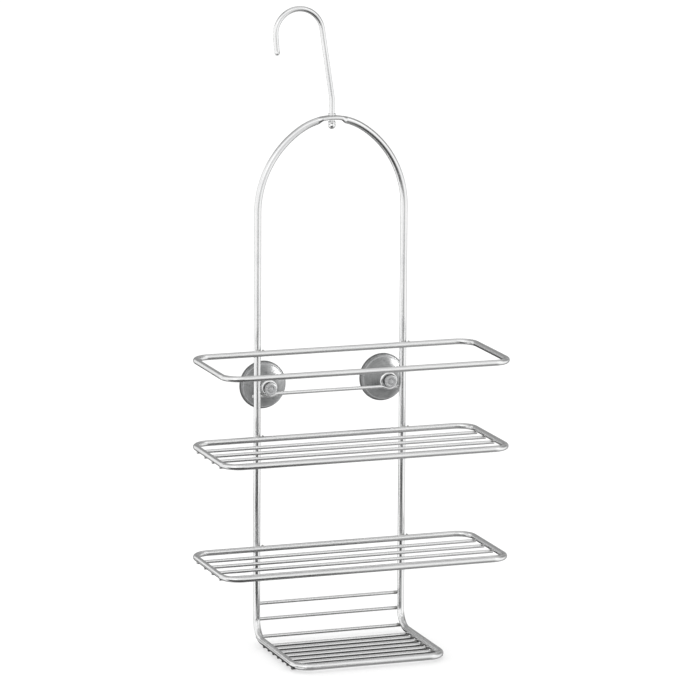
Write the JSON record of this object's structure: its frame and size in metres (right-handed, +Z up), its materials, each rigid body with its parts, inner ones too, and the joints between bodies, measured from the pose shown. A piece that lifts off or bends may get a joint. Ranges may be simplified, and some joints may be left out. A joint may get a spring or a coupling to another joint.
{
  "type": "shower caddy",
  "caption": "Hanging wire shower caddy: arched frame with swivel hook, top rail, wide shelves, a soap shelf and suction cups.",
  "frame": {"origin": "middle of the footprint, on the surface that the caddy can stand on (the underside of the soap shelf's floor wires)", "axes": "+Z up, towards the hook; +Y towards the wall; +X to the right when the caddy is seen from the front"},
  "size_m": [0.26, 0.1332, 0.5538],
  "materials": {
    "satin_steel": "satin, lightly brushed along the wire",
    "clear_vinyl": "clear grey soft vinyl, moulded"
  },
  "bodies": {
    "frame": {"main_frame": "satin_steel", "top_rail_ring": "satin_steel", "middle_shelf_rim": "satin_steel", "lower_shelf_rim": "satin_steel", "middle_floor_wire_1": "satin_steel", "middle_floor_wire_2": "satin_steel", "middle_floor_wire_3": "satin_steel", "middle_floor_wire_4": "satin_steel", "lower_floor_wire_1": "satin_steel", "lower_floor_wire_2": "satin_steel", "lower_floor_wire_3": "satin_steel", "lower_floor_wire_4": "satin_steel", "soap_floor_wire_1": "satin_steel", "soap_floor_wire_2": "satin_steel", "soap_floor_wire_3": "satin_steel", "soap_floor_wire_4": "satin_steel", "soap_floor_wire_5": "satin_steel", "soap_floor_wire_6": "satin_steel", "soap_floor_wire_7": "satin_steel", "back_wire_1": "satin_steel", "back_wire_2": "satin_steel", "back_wire_3": "satin_steel", "suction_bar": "satin_steel"},
    "hook": {"swivel_hook": "satin_steel", "hook_collar": "satin_steel", "hook_end_cap": "satin_steel"},
    "left_cup": {"left_suction_cup": "clear_vinyl"},
    "right_cup": {"right_suction_cup": "clear_vinyl"}
  },
  "joints": [
    {"name": "hook_swivel", "type": "hinge", "parent": "frame", "child": "hook", "pos_m": [0, 0.0459, 0.4563], "axis": [0, 0, 1], "continuous": true},
    {"name": "left_cup_turn", "type": "hinge", "parent": "frame", "child": "left_cup", "pos_m": [-0.055, 0.0459, 0.224], "axis": [0, 1, 0], "continuous": true},
    {"name": "right_cup_turn", "type": "hinge", "parent": "frame", "child": "right_cup", "pos_m": [0.055, 0.0459, 0.224], "axis": [0, 1, 0], "continuous": true}
  ]
}
